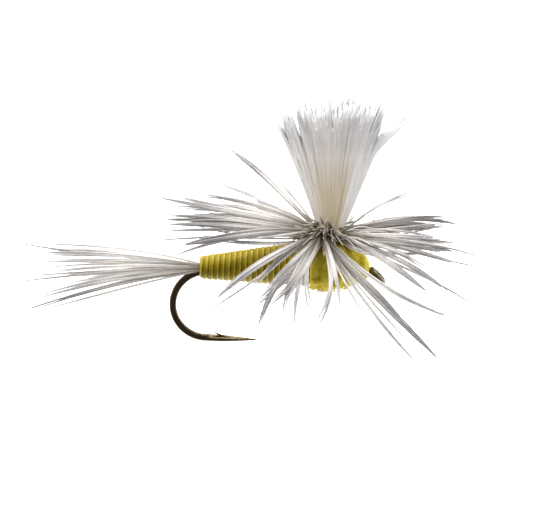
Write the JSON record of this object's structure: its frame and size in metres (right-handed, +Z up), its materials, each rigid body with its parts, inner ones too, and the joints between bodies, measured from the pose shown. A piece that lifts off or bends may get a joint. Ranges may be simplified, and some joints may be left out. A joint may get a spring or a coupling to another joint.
{
  "type": "parachute dry fly",
  "caption": "Dry fly: fine-wire hook with a fanned grey fibre tail, ribbed yellow abdomen, dubbed thorax, upright white hair post and a grey hackle wound flat round its base.",
  "frame": {"origin": "centre of the opening of the hook's eye", "axes": "+X forward out of the eye along the shank, +Z up along the wing post, +Y to the fly's left"},
  "size_m": [0.0297, 0.0192, 0.0169],
  "materials": {
    "hook_wire": "dark bronze lacquer over forged wire, glossy",
    "thread": "waxed yellow tying thread, satin",
    "tail_fibre": "dun grey feather barbs, silky",
    "floss": "pale yellow floss padding, matt",
    "quill_strip": "yellow dyed quill strip, satin, olive where turned from the light",
    "dubbing": "bright yellow dubbed fur, soft and slightly fuzzy",
    "post_hair": "white calf hair, warm tan in the depth of the bundle",
    "hackle_quill": "dark brown feather quill, satin",
    "hackle_barb": "dun grey feather barbs, glossy, dark at the edges"
  },
  "bodies": {
    "root": {"hook": "hook_wire", "thread_base": "thread", "tail_lashing": "thread", "tail_fibre_01": "tail_fibre", "tail_fibre_02": "tail_fibre", "tail_fibre_03": "tail_fibre", "tail_fibre_04": "tail_fibre", "tail_fibre_05": "tail_fibre", "tail_fibre_06": "tail_fibre", "tail_fibre_07": "tail_fibre", "tail_fibre_08": "tail_fibre", "tail_fibre_09": "tail_fibre", "tail_fibre_10": "tail_fibre", "tail_fibre_11": "tail_fibre", "tail_fibre_12": "tail_fibre", "tail_fibre_13": "tail_fibre", "tail_fibre_14": "tail_fibre", "tail_fibre_15": "tail_fibre", "underbody": "floss", "abdomen_wrap": "quill_strip", "thorax_dubbing": "dubbing", "wing_post": "post_hair", "post_base_wraps": "thread", "hackle_stem": "hackle_quill", "hackle_barbs_01": "hackle_barb", "hackle_barbs_02": "hackle_barb", "hackle_barbs_03": "hackle_barb", "hackle_barbs_04": "hackle_barb", "hackle_barbs_05": "hackle_barb", "hackle_barbs_06": "hackle_barb", "hackle_barbs_07": "hackle_barb", "hackle_barbs_08": "hackle_barb", "hackle_barbs_09": "hackle_barb", "hackle_barbs_10": "hackle_barb", "hackle_barbs_11": "hackle_barb", "hackle_barbs_12": "hackle_barb", "hackle_barbs_13": "hackle_barb", "hackle_barbs_14": "hackle_barb", "hackle_barbs_15": "hackle_barb", "hackle_barbs_16": "hackle_barb", "hackle_barbs_17": "hackle_barb", "hackle_barbs_18": "hackle_barb", "hackle_barbs_19": "hackle_barb", "hackle_barbs_20": "hackle_barb", "hackle_barbs_21": "hackle_barb", "hackle_barbs_22": "hackle_barb", "hackle_barbs_23": "hackle_barb", "hackle_barbs_24": "hackle_barb", "head_wraps": "thread", "whip_finish": "thread"}
  },
  "joints": []
}
